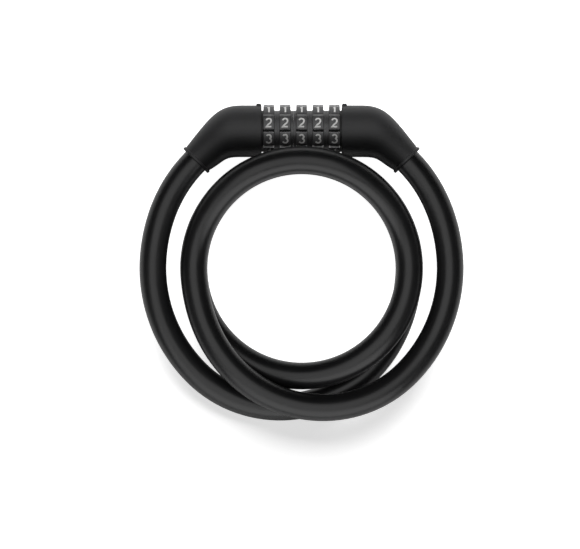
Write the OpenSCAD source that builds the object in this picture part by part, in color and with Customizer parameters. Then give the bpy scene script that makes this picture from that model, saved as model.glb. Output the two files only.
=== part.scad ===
// Combination cable lock: a stiff sheathed wire rope in two and three quarter
// turns, joined by a barrel of five numbered dials between two elbows.
// Origin on the floor at the middle of the coil, +X along the dial axis,
// +Y from the coil's middle towards the dials, +Z up. Millimetres.

/* [Cable] */
// Outer diameter of the plastic sheath
cable_d = 12; // [9:0.5:13]
// Diameter of the steel wire rope inside the sheath
rope_d = 8; // [5:0.5:8.5]
// Radius of the inner loops, to the cable's centre
inner_loop_r = 47.9; // [44:0.1:49]
// Radius of the outer loop, to the cable's centre
outer_loop_r = 66.05; // [64:0.05:70]
// Height between two strands that lie one on the other, less the diameter
strand_gap = 0.55; // [0.45:0.05:1.5]

/* [Dials] */
// Outer diameter of the raised, notched band of a dial
dial_d = 23.46; // [22:0.1:25]
// Diameter of the low shoulders on both sides of the band
dial_shoulder_d = 18; // [16.5:0.1:19.5]
// Distance from one dial to the next
dial_pitch = 7.27; // [6.8:0.05:8]
// Width of the raised band
dial_band_w = 4.8; // [4:0.1:5.6]
// Axial gap between two dials
dial_gap = 0.25; // [0.15:0.05:0.5]
// Width of the notches between the numbers
notch_w = 1.3; // [0.8:0.1:1.8]
// Depth of those notches
notch_depth = 1; // [0.5:0.1:1.5]

/* [Lock barrel] */
// Distance of the dial axis from the coil's middle
lock_y = 60.8; // [59:0.1:62.5]
// Outer diameter of the slotted core tube that the dials turn on
core_d = 10.4; // [9.6:0.1:11]
// Diameter of the sliding locking pin
pin_d = 5; // [4:0.1:5.6]
// Width of the slot in the core and of the gates in the code sleeves
slot_w = 2.4; // [2:0.1:3]
// Thickness of the locking pin's fins
fin_t = 1.6; // [1.2:0.1:1.8]
// Outer diameter of the code sleeves, which is the bore of the dials
sleeve_d = 15.2; // [14.8:0.1:15.6]
// Thickness of the code sleeves' wall round the fins
sleeve_wall = 1; // [0.8:0.05:1.2]
// Thickness of the web that blocks a fin
web_t = 2; // [1.6:0.1:2.4]
// Thickness of the slotted thrust washer
washer_t = 0.7; // [0.5:0.1:0.9]
// Thickness of the retaining clip
clip_t = 0.8; // [0.6:0.1:1]

/* [Elbows] */
// Diameter of the elbows next to the dials
elbow_d = 23; // [22:0.1:24.5]
// Diameter of the elbows where the bend ends
elbow_mid_d = 17.6; // [16:0.1:19]
// Diameter of the elbows' necks at the cable's mouth
elbow_neck_d = 14.7; // [14.3:0.1:15.4]
// Angle of the bend
elbow_bend = 45.2; // [43:0.1:48]
// Radius of the bend, to the centre line
elbow_bend_r = 13.5; // [12.5:0.5:18]
// Length from the bend's corner to the mouth's face
elbow_leg = 18.7; // [18:0.1:19.5]
// Distance of the mouth's centre line from the coil's middle
mouth_r = 66.95; // [66:0.05:67.8]
// Diameter of the lip of the cable grommets
lip_d = 15.3; // [15:0.1:16.4]
// Length of that lip
lip_len = 1.5; // [1:0.1:2]
// Width of the raised index marks beside the dials
mark_w = 2.4; // [1.5:0.1:3]
// Height of the index marks above the elbow
mark_h = 0.8; // [0.4:0.1:1]
// Half of the angle that an index mark spans
mark_half_angle = 15; // [8:1:20]

/* [Hidden] */

dial_count = 5;
notch_count = 10;
fit = 0.06;            // radial play of a piece that turns or slides on another
clear = 0.2;           // clearance of moving pieces that don't guide each other
touch = 0.35;          // gap between the cable and the dials that it lies against
over = 1;              // how far a cut passes the face that it opens
chamfer = 0.5;         // broken edges of dials and elbows
facets = 96;

// Barrel: places along the dial axis, from its middle
stack_w = dial_count * dial_pitch;
dial_w = dial_pitch - dial_gap;
face_x = stack_w / 2 + dial_gap / 2;
dial_r = dial_d / 2;
core_r = core_d / 2;
pin_r = pin_d / 2;
cavity_r = sleeve_d / 2 - sleeve_wall;
fin_r = cavity_r - 2 * clear;
fin_len = 1.8;
rim_r = sleeve_d / 2 - 2 * clear;
flange_t = 1.2;
core_root = 8.5;       // length of the core that is held in the left elbow
clip_x = face_x + washer_t + clear;
clip_rise = 1.4;       // how far the clip stands above the core
clip_sink = 0.6;       // how deep it sits in the core
clip_mouth = 2;        // how much wider than the slot it is open
core_tip = 0.8;        // length of the core beyond the clip
core_end_x = clip_x + clip_t + core_tip;
recess_r = sleeve_d / 2;
recess_x = core_end_x + 2 * clear;
root_r = 4;
root_len = 6;
spring_w = 3;
spring_t = 0.4;
dimple_r = 1.2;
detent_w = 0.9;
detent_depth = 0.4;
cross_pin_r = 1.2;
cross_pin_reach = 4.4; // how far a cross pin passes beyond the axis that it pins
cross_pin_sink = 0.8;  // how far its head lies below the elbow's skin

// Elbow: a straight piece, a bend and a straight leg to the mouth
elbow_r = elbow_d / 2;
bend_tangent = elbow_bend_r * tan(elbow_bend / 2);
leg_dir = [-cos(elbow_bend), -sin(elbow_bend)];
mouth_angle = 90 + elbow_bend;
tangent_point = mouth_r * [cos(mouth_angle), sin(mouth_angle)];
corner_to_tangent = (lock_y - tangent_point[1]) / sin(elbow_bend);
corner_x = tangent_point[0] + corner_to_tangent * cos(elbow_bend);
sheath_start = 8;      // where the sheath begins, from the corner
ferrule_r = 5.5;
ferrule_back = 2;      // how far the ferrule reaches behind the corner
ferrule_plug = 3.6;    // length of its solid end
arc_taper = 1.2;       // power that the elbow's radius falls with round the bend
leg_bulge = 0.1;       // how far the leg's middle lies above a straight taper
spigot_wall = 0.55;
spigot_r = cable_d / 2 + spigot_wall;
spigot_len = 2.5;
grip = 0.05;           // radial play of the cable in its seats

// Cable: heights of its centre line
floor_cut = cable_d / 10;
floor_z = cable_d / 2 - floor_cut;
second_z = floor_z + cable_d + strand_gap;
flank_rise = sqrt(pow(dial_r + cable_d / 2 + touch, 2) - pow(lock_y - inner_loop_r, 2));
lock_z = floor_z + flank_rise;
top_z = lock_z + flank_rise;

// Cable: angles round the coil, counted on from the left elbow through every turn
bottom_angle = 630;    // the middle of the route, at the coil's lowest edge
end_angle = 2 * bottom_angle - mouth_angle;
spread_from = 275;     // where the inner loop opens out, either side of the middle
spread_over = 130;
mouth_over = 40;       // stretch in which the outer loop meets the mouth's line
descent = [150, 240];  // from the left elbow to the floor
climb = [571, 688];    // from the floor onto the strand below
climb_top = [720, 797];   // onto the barrel
fall_top = [825, 900];    // off the barrel again
sag_from = 1005;       // where the last strand leaves what it lies on
sag = 4.5;
split_angle = 1030;    // where the bending end begins
rings_per_loop = 24;
ring_step = 360 / rings_per_loop;
sides = 12;

function smooth(x) = let (t = min(1, max(0, x))) t * t * (3 - 2 * t);
function blend(a, range) = smooth((a - range[0]) / (range[1] - range[0]));

function route_r(a) =
    let (from_bottom = abs(a - bottom_angle))
    let (from_mouth = min(a - mouth_angle, end_angle - a))
    inner_loop_r
    + (outer_loop_r - inner_loop_r) * smooth((from_bottom - spread_from) / spread_over)
    + (mouth_r - outer_loop_r) * (1 - smooth(from_mouth / mouth_over));

function route_z(a) =
    let (last = min(1, max(0, (a - sag_from) / (end_angle - sag_from))))
    floor_z
    + (lock_z - floor_z) * (1 - blend(a, descent))
    + (second_z - floor_z) * blend(a, climb)
    + (top_z - second_z) * (blend(a, climb_top) - blend(a, fall_top))
    + (lock_z - second_z) * smooth(last)
    - sag * pow(sin(180 * last), 2);

function route(a) = [route_r(a) * cos(a), route_r(a) * sin(a), route_z(a)];
function unit(v) = v / norm(v);
function heading(a) = unit(route(a + 0.5) - route(a - 0.5));

// A station is [centre, direction]. Both ends of each piece run straight.
split_half = 180 / PI * cable_d / route_r(split_angle);
split_a = route(split_angle - split_half);
split_b = route(split_angle + split_half);
split_dir = unit(split_b - split_a);
split_mid = (split_a + split_b) / 2;
left_dir = [leg_dir[0], leg_dir[1], 0];
right_dir = [leg_dir[0], -leg_dir[1], 0];

tail_from = ring_step * ceil((split_angle + split_half) / ring_step + 0.5);

function left_leg(d) = [corner_x + d * leg_dir[0], lock_y + d * leg_dir[1], lock_z];
function right_leg(d) = [-left_leg(d)[0], left_leg(d)[1], lock_z];

function coil_stations(start) = concat(
    [[left_leg(start), left_dir], [left_leg(corner_to_tangent), left_dir]],
    [for (a = [descent[0] : ring_step : split_angle - split_half - ring_step / 2])
        [route(a), heading(a)]],
    [[split_a, split_dir], [split_mid, split_dir]]
);
function tail_stations(start) = concat(
    [[split_mid, split_dir], [split_b, split_dir]],
    [for (a = [tail_from : ring_step : end_angle - ring_step / 2]) [route(a), heading(a)]],
    [[right_leg(corner_to_tangent), right_dir], [right_leg(start), right_dir]]
);

// One ring of a swept tube. Nothing of it lies below the floor.
function ring(station, r, n) =
    let (side = unit(cross(station[1], [0, 0, 1])))
    let (up = cross(side, station[1]))
    [for (k = [0 : n - 1])
        let (p = station[0] + r * (cos(360 * k / n) * side + sin(360 * k / n) * up))
        [p[0], p[1], max(0, p[2])]];

// Skin between ring i and the next one, of n points each, which start at base
function skin(rings, n, base, inward) = [
    for (i = [0 : rings - 2]) for (k = [0 : n - 1])
        let (a = base + i * n + k)
        let (b = base + i * n + (k + 1) % n)
        for (t = inward
            ? [[a, b + n, b], [a, a + n, b + n]]
            : [[a, b, b + n], [a, b + n, a + n]]) t
];

// A solid swept through rings, each of the same number of points
module swept_solid(rings) {
    n = len(rings[0]);
    last = (len(rings) - 1) * n;
    polyhedron(
        points = [for (r = rings) each r],
        faces = concat(
            skin(len(rings), n, 0, false),
            [for (k = [1 : n - 2]) [0, k + 1, k]],
            [for (k = [1 : n - 2]) [last, last + k, last + k + 1]]
        )
    );
}

// The same with a bore, closed by a flat ring at each end
module swept_tube(outer, inner) {
    n = len(outer[0]);
    bore = len(outer) * n;
    last = bore - n;
    polyhedron(
        points = [for (r = concat(outer, inner)) each r],
        faces = concat(
            skin(len(outer), n, 0, false),
            skin(len(inner), n, bore, true),
            [for (k = [0 : n - 1]) let (m = (k + 1) % n)
                for (t = [[m, k, bore + k], [m, bore + k, bore + m]]) t],
            [for (k = [0 : n - 1]) let (m = (k + 1) % n)
                for (t = [[last + k, last + m, last + bore + m],
                    [last + k, last + bore + m, last + bore + k]]) t]
        )
    );
}

// Least gap of the cable to itself, on points along the lines from ring to ring
tube_line = concat(coil_stations(sheath_start), tail_stations(sheath_start));
parts_per_line = 5;
line_points = [
    for (i = [1 : len(tube_line) - 1]) for (k = [0 : parts_per_line - 1])
        let (t = k / parts_per_line)
        (1 - t) * tube_line[i - 1][0] + t * tube_line[i][0]
];
quarter_turn = rings_per_loop / 4 * parts_per_line;
least_gap = min([
    for (i = [0 : len(line_points) - 1 - quarter_turn])
        for (j = [i + quarter_turn : len(line_points) - 1])
            norm(line_points[j] - line_points[i])
]) - cable_d;
sheath_length = [for (i = [1 : len(tube_line) - 1]) norm(tube_line[i][0] - tube_line[i - 1][0])]
    * [for (i = [1 : len(tube_line) - 1]) 1];
echo(least_gap_mm = least_gap, sheath_length_mm = sheath_length);

module sheath(stations) {
    color([0.09, 0.09, 0.095])
        swept_tube(
            [for (s = stations) ring(s, cable_d / 2, sides)],
            [for (s = stations) ring(s, rope_d / 2 + grip, sides)]
        );
}

module rope(stations) {
    color([0.62, 0.63, 0.65])
        swept_solid([for (s = stations) ring(s, rope_d / 2, sides)]);
}

module cable_coil() {
    sheath(coil_stations(sheath_start));
}

module cable_tail() {
    sheath(tail_stations(sheath_start));
}

rope_start = ferrule_plug - ferrule_back;

module rope_coil() {
    rope(coil_stations(rope_start));
}

module rope_tail() {
    rope(tail_stations(rope_start));
}

// Places: along the dial axis, and along the left elbow's leg
module on_axis(x) {
    translate([x, lock_y, lock_z])
        rotate([0, 90, 0])
            children();
}

module on_left_leg(d) {
    translate(left_leg(d))
        rotate([0, 0, 180 + elbow_bend])
            rotate([0, 90, 0])
                children();
}

module right_side() {
    mirror([1, 0, 0])
        children();
}

module axial(x0, x1, r) {
    on_axis(x0)
        cylinder(h = x1 - x0, r = r, $fn = facets);
}

// A keyway that runs along the axis on its +Y side
module keyway(x0, x1, r0, r1, w) {
    translate([x0, lock_y + r0, lock_z - w / 2])
        cube([x1 - x0, r1 - r0, w]);
}

// Elbow: the outer skin as a sweep whose radius falls from barrel to mouth
arc_steps = 12;
elbow_sides = 28;
arc_start_x = corner_x + bend_tangent;
end_of_elbow = elbow_leg - lip_len;

function bend_centre(phi) = [
    arc_start_x - elbow_bend_r * sin(phi),
    lock_y - elbow_bend_r * (1 - cos(phi)),
    lock_z
];

function arc_r(t) = elbow_r + (elbow_mid_d / 2 - elbow_r) * pow(t, arc_taper);

function elbow_stations() = concat(
    [
        [[-face_x, lock_y, lock_z], [-1, 0, 0], elbow_r - chamfer],
        [[-face_x - chamfer, lock_y, lock_z], [-1, 0, 0], elbow_r]
    ],
    [for (i = [0 : arc_steps]) let (phi = elbow_bend * i / arc_steps)
        [bend_centre(phi), [-cos(phi), -sin(phi), 0], arc_r(i / arc_steps)]],
    [
        [left_leg((bend_tangent + end_of_elbow) / 2), left_dir,
            (elbow_mid_d + elbow_neck_d) / 4 + leg_bulge],
        [left_leg(end_of_elbow), left_dir, elbow_neck_d / 2]
    ]
);

module elbow_body() {
    swept_solid([for (s = elbow_stations()) ring(s, s[2], elbow_sides)]);
    intersection() {
        on_axis(-face_x - mark_w)
            cylinder(h = mark_w, r = elbow_r + mark_h, $fn = facets);
        translate([-face_x - mark_w, lock_y, lock_z])
            rotate([-mark_half_angle, 0, 0])
                cube([mark_w, 2 * elbow_r, 2 * elbow_r]);
        translate([-face_x - mark_w, lock_y, lock_z])
            rotate([mark_half_angle - 90, 0, 0])
                cube([mark_w, 2 * elbow_r, 2 * elbow_r]);
    }
}

// What the mouth of either elbow takes: sheath, grommet, ferrule and its pin
module mouth_cuts() {
    on_left_leg(sheath_start)
        cylinder(h = elbow_leg, r = cable_d / 2 + grip, $fn = facets);
    on_left_leg(end_of_elbow - spigot_len)
        cylinder(h = elbow_leg, r = spigot_r, $fn = facets);
    on_left_leg(-ferrule_back)
        cylinder(h = sheath_start + ferrule_back + over, r = ferrule_r, $fn = facets);
    cross_bore(cable_pin_at(), 2 * elbow_r);
}

function cable_pin_at() = left_leg(ferrule_plug / 2 - ferrule_back);
function core_pin_at() = [-face_x - flange_t - core_root / 2, lock_y, lock_z];
function shaft_pin_at() = [-recess_x - root_len / 2, lock_y, lock_z];

// A blind hole from below, up to just past the axis that it crosses
module cross_bore(at, depth) {
    translate([at[0], at[1], at[2] - depth])
        cylinder(h = depth + cross_pin_reach, r = cross_pin_r, $fn = 48);
}

module cross_pin(at, skin_r) {
    color([0.7, 0.7, 0.72])
        cross_bore(at, skin_r - cross_pin_sink);
}

module left_elbow() {
    color([0.1, 0.1, 0.105])
        difference() {
            elbow_body();
            mouth_cuts();
            axial(-face_x - flange_t, 0, rim_r);
            axial(-face_x - flange_t - core_root, 0, core_r);
            cross_bore(core_pin_at(), 2 * elbow_r);
        }
}

module right_elbow() {
    color([0.1, 0.1, 0.105])
        right_side()
            difference() {
                elbow_body();
                mouth_cuts();
                axial(-recess_x, 0, recess_r);
                axial(-recess_x - root_len, 0, root_r);
                cross_bore(shaft_pin_at(), 2 * elbow_r);
            }
}

module grommet() {
    color([0.08, 0.08, 0.085])
        difference() {
            union() {
                on_left_leg(end_of_elbow)
                    cylinder(h = lip_len, r = lip_d / 2, $fn = facets);
                on_left_leg(end_of_elbow - spigot_len)
                    cylinder(h = spigot_len + lip_len, r = spigot_r, $fn = facets);
            }
            on_left_leg(sheath_start)
                cylinder(h = 2 * elbow_leg, r = cable_d / 2 + grip, $fn = facets);
        }
}

module left_grommet() {
    grommet();
}

module right_grommet() {
    right_side()
        grommet();
}

// Swaged end of the wire rope: a cup for the rope and a solid, pinned end
module ferrule() {
    color([0.75, 0.75, 0.76])
        difference() {
            on_left_leg(-ferrule_back)
                cylinder(h = sheath_start + ferrule_back, r = ferrule_r, $fn = facets);
            on_left_leg(rope_start)
                cylinder(h = elbow_leg, r = rope_d / 2, $fn = facets);
            cross_bore(cable_pin_at(), 2 * elbow_r);
        }
}

module left_ferrule() {
    ferrule();
}

module right_ferrule() {
    right_side()
        ferrule();
}

module left_cable_pin() {
    cross_pin(cable_pin_at(), arc_r(0.5));
}

module right_cable_pin() {
    right_side()
        cross_pin(cable_pin_at(), arc_r(0.5));
}

module core_pin() {
    cross_pin(core_pin_at(), elbow_r);
}

module shaft_pin() {
    right_side()
        cross_pin(shaft_pin_at(), elbow_r);
}

// The core: a tube with a slot for the fins and a groove for the detent spring
module lock_core() {
    color([0.78, 0.77, 0.74])
        difference() {
            union() {
                axial(-face_x - flange_t - core_root, core_end_x, core_r);
                axial(-face_x - flange_t, -face_x, rim_r);
            }
            axial(-face_x, core_end_x + over, pin_r + fit);
            keyway(-face_x, core_end_x + over, 0, 2 * core_r, slot_w);
            translate([-face_x, lock_y - core_r - over, lock_z - spring_w / 2 - fit])
                cube([stack_w, over + 2 * spring_t, spring_w + 2 * fit]);
            difference() {
                axial(clip_x, clip_x + clip_t, 2 * core_r);
                axial(clip_x, clip_x + clip_t, core_r - clip_sink);
            }
            cross_bore(core_pin_at(), 2 * elbow_r);
        }
}

// Slotted washer and open clip leave the way free for the fins
module core_washer() {
    color([0.8, 0.68, 0.35])
        difference() {
            axial(clip_x - washer_t, clip_x, rim_r);
            axial(clip_x - washer_t - over, clip_x + over, core_r + fit);
            keyway(clip_x - washer_t - over, clip_x + over, 0, 2 * core_r, slot_w + clear);
        }
}

module core_clip() {
    color([0.55, 0.55, 0.56])
        difference() {
            axial(clip_x, clip_x + clip_t, core_r + clip_rise);
            axial(clip_x - over, clip_x + clip_t + over, core_r - clip_sink);
            keyway(clip_x - over, clip_x + clip_t + over, 0, 2 * core_r, slot_w + clip_mouth);
        }
}

function dial_x(i) = (i - (dial_count + 1) / 2) * dial_pitch;
function cavity_x(i) = dial_x(i) - web_t / 2;

// A leaf in the core's groove with one dimple in each sleeve's cavity
module detent_spring() {
    color([0.6, 0.62, 0.66]) {
        translate([-face_x + clear, lock_y - core_r + spring_t / 2, lock_z - spring_w / 2])
            cube([stack_w - clear, spring_t, spring_w]);
        for (i = [1 : dial_count])
            intersection() {
                translate([cavity_x(i), lock_y - cavity_r + clear + dimple_r, lock_z - spring_w / 2])
                    cylinder(h = spring_w, r = dimple_r, $fn = 48);
                translate([cavity_x(i) - dimple_r, lock_y - cavity_r, lock_z - spring_w / 2])
                    cube([2 * dimple_r, cavity_r - core_r + spring_t, spring_w]);
            }
    }
}

// Dial: a notched band between two low shoulders, bored for its sleeve
module dial(i) {
    band_r = dial_r - chamfer / 2;
    color([0.11, 0.11, 0.115])
        difference() {
            union() {
                axial(dial_x(i) - dial_w / 2, dial_x(i) + dial_w / 2, dial_shoulder_d / 2);
                axial(dial_x(i) - dial_band_w / 2, dial_x(i) + dial_band_w / 2, band_r);
                axial(dial_x(i) - dial_band_w / 2 + chamfer / 2,
                    dial_x(i) + dial_band_w / 2 - chamfer / 2, dial_r);
            }
            axial(dial_x(i) - dial_w, dial_x(i) + dial_w, sleeve_d / 2);
            for (k = [0 : notch_count - 1])
                translate([dial_x(i), lock_y, lock_z])
                    rotate([360 * k / notch_count, 0, 0])
                        translate([-dial_w, -notch_w / 2, dial_r - notch_depth])
                            cube([2 * dial_w, notch_w, 2 * notch_depth]);
        }
}

module dial_1() { dial(1); }
module dial_2() { dial(2); }
module dial_3() { dial(3); }
module dial_4() { dial(4); }
module dial_5() { dial(5); }

// Code sleeve: a cup that hides one fin, with a gated web on its right
module code_sleeve(i) {
    web_x = dial_x(i) + dial_w / 2 - web_t;
    color([0.83, 0.83, 0.8])
        difference() {
            axial(dial_x(i) - dial_w / 2, dial_x(i) + dial_w / 2, sleeve_d / 2);
            axial(dial_x(i) - dial_w, web_x, cavity_r);
            axial(dial_x(i) - dial_w, dial_x(i) + dial_w, core_r + fit);
            keyway(dial_x(i) - dial_w, dial_x(i) + dial_w, 0, fin_r + clear, slot_w);
            for (k = [0 : notch_count - 1])
                translate([dial_x(i), lock_y, lock_z])
                    rotate([360 * (k + 0.5) / notch_count, 0, 0])
                        translate([-dial_w, -detent_w / 2, cavity_r - detent_depth])
                            cube([web_x - dial_x(i) + dial_w, detent_w, 2 * detent_depth]);
        }
}

module code_sleeve_1() { code_sleeve(1); }
module code_sleeve_2() { code_sleeve(2); }
module code_sleeve_3() { code_sleeve(3); }
module code_sleeve_4() { code_sleeve(4); }
module code_sleeve_5() { code_sleeve(5); }

// Locking pin: a shaft with one fin per dial, rooted in the right elbow
module locking_pin() {
    color([0.72, 0.73, 0.75])
        difference() {
            union() {
                axial(-face_x + clear, recess_x + root_len / 2, pin_r);
                axial(recess_x, recess_x + root_len, root_r);
                for (i = [1 : dial_count])
                    keyway(cavity_x(i) - fin_len / 2, cavity_x(i) + fin_len / 2, 0, fin_r, fin_t);
            }
            right_side()
                cross_bore(shaft_pin_at(), 2 * elbow_r);
        }
}

cable_coil();
cable_tail();
rope_coil();
rope_tail();
left_elbow();
left_grommet();
left_ferrule();
left_cable_pin();
lock_core();
core_pin();
core_washer();
core_clip();
detent_spring();
dial_1();
dial_2();
dial_3();
dial_4();
dial_5();
code_sleeve_1();
code_sleeve_2();
code_sleeve_3();
code_sleeve_4();
code_sleeve_5();
right_elbow();
right_grommet();
right_ferrule();
right_cable_pin();
locking_pin();
shaft_pin();
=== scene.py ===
"""Combination cable lock: the looks of its cable, elbows and numbered dials."""

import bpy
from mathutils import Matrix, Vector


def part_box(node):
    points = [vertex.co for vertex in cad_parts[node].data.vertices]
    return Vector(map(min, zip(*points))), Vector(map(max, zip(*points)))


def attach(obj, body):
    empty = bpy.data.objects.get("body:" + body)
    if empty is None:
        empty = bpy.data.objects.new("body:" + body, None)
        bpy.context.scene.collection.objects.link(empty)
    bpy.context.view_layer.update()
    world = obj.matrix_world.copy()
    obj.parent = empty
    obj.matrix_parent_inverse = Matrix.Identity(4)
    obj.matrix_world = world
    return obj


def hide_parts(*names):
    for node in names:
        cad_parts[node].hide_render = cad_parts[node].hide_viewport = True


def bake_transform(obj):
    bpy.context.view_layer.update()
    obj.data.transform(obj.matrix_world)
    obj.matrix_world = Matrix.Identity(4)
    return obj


bl_info = {
    "name": "Combination Cable Lock",
    "version": (1, 0, 0),
    "blender": (4, 5, 0),
    "location": "View3D > Sidebar > Cable Lock",
    "description": "Dresses a coiled cable lock with bent end sleeves and five numbered dials",
    "category": "Add Mesh",
}

import math

import bmesh
import bpy
from bpy.props import FloatProperty, FloatVectorProperty, IntProperty, PointerProperty
from mathutils import Vector

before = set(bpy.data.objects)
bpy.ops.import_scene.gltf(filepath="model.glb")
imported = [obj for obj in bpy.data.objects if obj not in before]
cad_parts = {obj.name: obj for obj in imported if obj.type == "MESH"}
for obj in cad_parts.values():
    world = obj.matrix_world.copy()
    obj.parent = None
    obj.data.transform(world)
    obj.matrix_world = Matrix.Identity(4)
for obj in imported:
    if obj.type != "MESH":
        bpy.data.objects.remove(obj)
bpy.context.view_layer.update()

MM = 0.001
ROOT_BODY = "lock_body"
PLUG_BODY = "plug"


# ------------------------------------------------------------------ user sizes

def length_property(name, description, value, low, high):
    """A length in metres with a soft range."""
    return FloatProperty(
        name=name,
        description=description,
        default=value,
        min=low,
        max=high,
        subtype="DISTANCE",
        unit="LENGTH",
        precision=5,
    )


def colour_property(name, description, value):
    """A scene-linear colour without alpha."""
    return FloatVectorProperty(
        name=name,
        description=description,
        default=value,
        min=0.0,
        max=1.0,
        size=3,
        subtype="COLOR",
    )


class CableLockSizes(bpy.types.PropertyGroup):
    """Driving sizes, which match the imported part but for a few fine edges."""

    cable_d: length_property("Cable", "Outer diameter of the sheath", 0.012, 0.009, 0.013)
    rope_d: length_property("Wire rope", "Diameter of the rope in the sheath", 0.008, 0.005, 0.0085)
    inner_loop_r: length_property("Inner loops", "Radius to the cable's centre", 0.0479, 0.044, 0.049)
    outer_loop_r: length_property("Outer loop", "Radius to the cable's centre", 0.06605, 0.064, 0.07)
    strand_gap: length_property("Strand gap", "Air between stacked strands", 0.00055, 0.0004, 0.002)
    sag: length_property("Sag", "How far the last strand hangs down", 0.0045, 0.0, 0.006)
    lock_y: length_property("Barrel distance", "From coil centre to dial axis", 0.0608, 0.059, 0.0625)
    dial_d: length_property("Dial", "Diameter over the numbered band", 0.02346, 0.022, 0.025)
    shoulder_d: length_property("Shoulder", "Diameter beside the band", 0.0184, 0.0165, 0.0195)
    dial_pitch: length_property("Dial pitch", "From one dial to the next", 0.00727, 0.0068, 0.008)
    dial_gap: length_property("Dial gap", "Air between two dials", 0.00025, 0.0001, 0.0005)
    band_w: length_property("Band width", "Width of the numbered band", 0.0048, 0.004, 0.0056)
    notch_w: length_property("Notch width", "Width of a grip notch", 0.0013, 0.0008, 0.0018)
    notch_depth: length_property("Notch depth", "Depth of a grip notch", 0.0015, 0.0005, 0.002)
    sleeve_d: length_property("Sleeve", "Bore of a dial", 0.0152, 0.0148, 0.0156)
    numeral_h: length_property("Numeral height", "Height of a printed number", 0.0045, 0.003, 0.0055)
    numeral_w: length_property("Numeral width", "Width of a printed number", 0.0031, 0.002, 0.004)
    stroke_w: length_property("Stroke", "Width of a printed stroke", 0.0007, 0.0003, 0.001)
    elbow_d: length_property("Elbow", "Diameter beside the dials", 0.023, 0.022, 0.0245)
    elbow_neck_d: length_property("Elbow neck", "Diameter at the mouth", 0.0145, 0.0143, 0.0154)
    elbow_leg: length_property("Elbow leg", "From the bend's corner to the mouth", 0.0187, 0.018, 0.0195)
    mouth_r: length_property("Mouth line", "From coil centre to the leg's line", 0.06695, 0.066, 0.0678)
    lip_d: length_property("Lip", "Diameter of the grommet's lip", 0.0155, 0.015, 0.0164)
    lip_len: length_property("Lip length", "Length of the grommet's lip", 0.0015, 0.001, 0.002)
    mark_w: length_property("Mark width", "Width of an index mark", 0.0024, 0.0015, 0.003)
    mark_h: length_property("Mark height", "Height of an index mark", 0.0008, 0.0004, 0.001)
    elbow_bend: FloatProperty(
        name="Bend angle",
        description="Angle that each elbow turns through",
        default=math.radians(45.2),
        min=math.radians(43),
        max=math.radians(48),
        subtype="ANGLE",
        unit="ROTATION",
    )
    dial_count: IntProperty(name="Dials", description="Number of dials", default=5, min=1, max=5)
    notch_count: IntProperty(name="Numbers", description="Numbers on a dial", default=10, min=6, max=10)


class CableLockColours(bpy.types.PropertyGroup):
    """Colours of the visible finishes."""

    sheath: colour_property("Sheath", "Black vinyl of the cable", (0.010, 0.010, 0.0105))
    elbow: colour_property("Elbows", "Satin black of the end sleeves", (0.014, 0.014, 0.0146))
    dial: colour_property("Dials", "Satin black of the dials", (0.026, 0.026, 0.027))
    # The notch walls' pale colour is a painted highlight, standing in for light falling on them.
    notch_painted_highlight: colour_property("Notch walls", "Painted highlight on the sides of the grip notches", (0.6, 0.6, 0.6))
    numerals: colour_property("Numbers", "Print on the dials", (0.49, 0.49, 0.48))
    steel: colour_property("Steel", "Turned and plated parts", (0.52, 0.53, 0.55))
    brass: colour_property("Brass", "The slotted washer", (0.62, 0.45, 0.19))
    sleeve: colour_property("Code sleeves", "Natural acetal", (0.72, 0.71, 0.66))
    floor: colour_property("Floor", "White sweep under the lock", (1.0, 1.0, 1.0))


def sizes():
    return bpy.context.scene.cable_lock_sizes


def colours():
    return bpy.context.scene.cable_lock_colours


# ------------------------------------------------------------------ the cable's route

START_ANGLE = 90.0
BOTTOM_ANGLE = 630.0
SPREAD_FROM = 275.0
SPREAD_OVER = 130.0
MOUTH_OVER = 40.0
DESCENT = (150.0, 240.0)
CLIMB = (571.0, 688.0)
CLIMB_TOP = (720.0, 797.0)
FALL_TOP = (825.0, 900.0)
SAG_FROM = 1005.0
SPLIT_ANGLE = 1030.0
TOUCH = 0.35 * MM


def smooth(x):
    t = min(1.0, max(0.0, x))
    return t * t * (3.0 - 2.0 * t)


def between(angle, limits):
    return smooth((angle - limits[0]) / (limits[1] - limits[0]))


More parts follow.
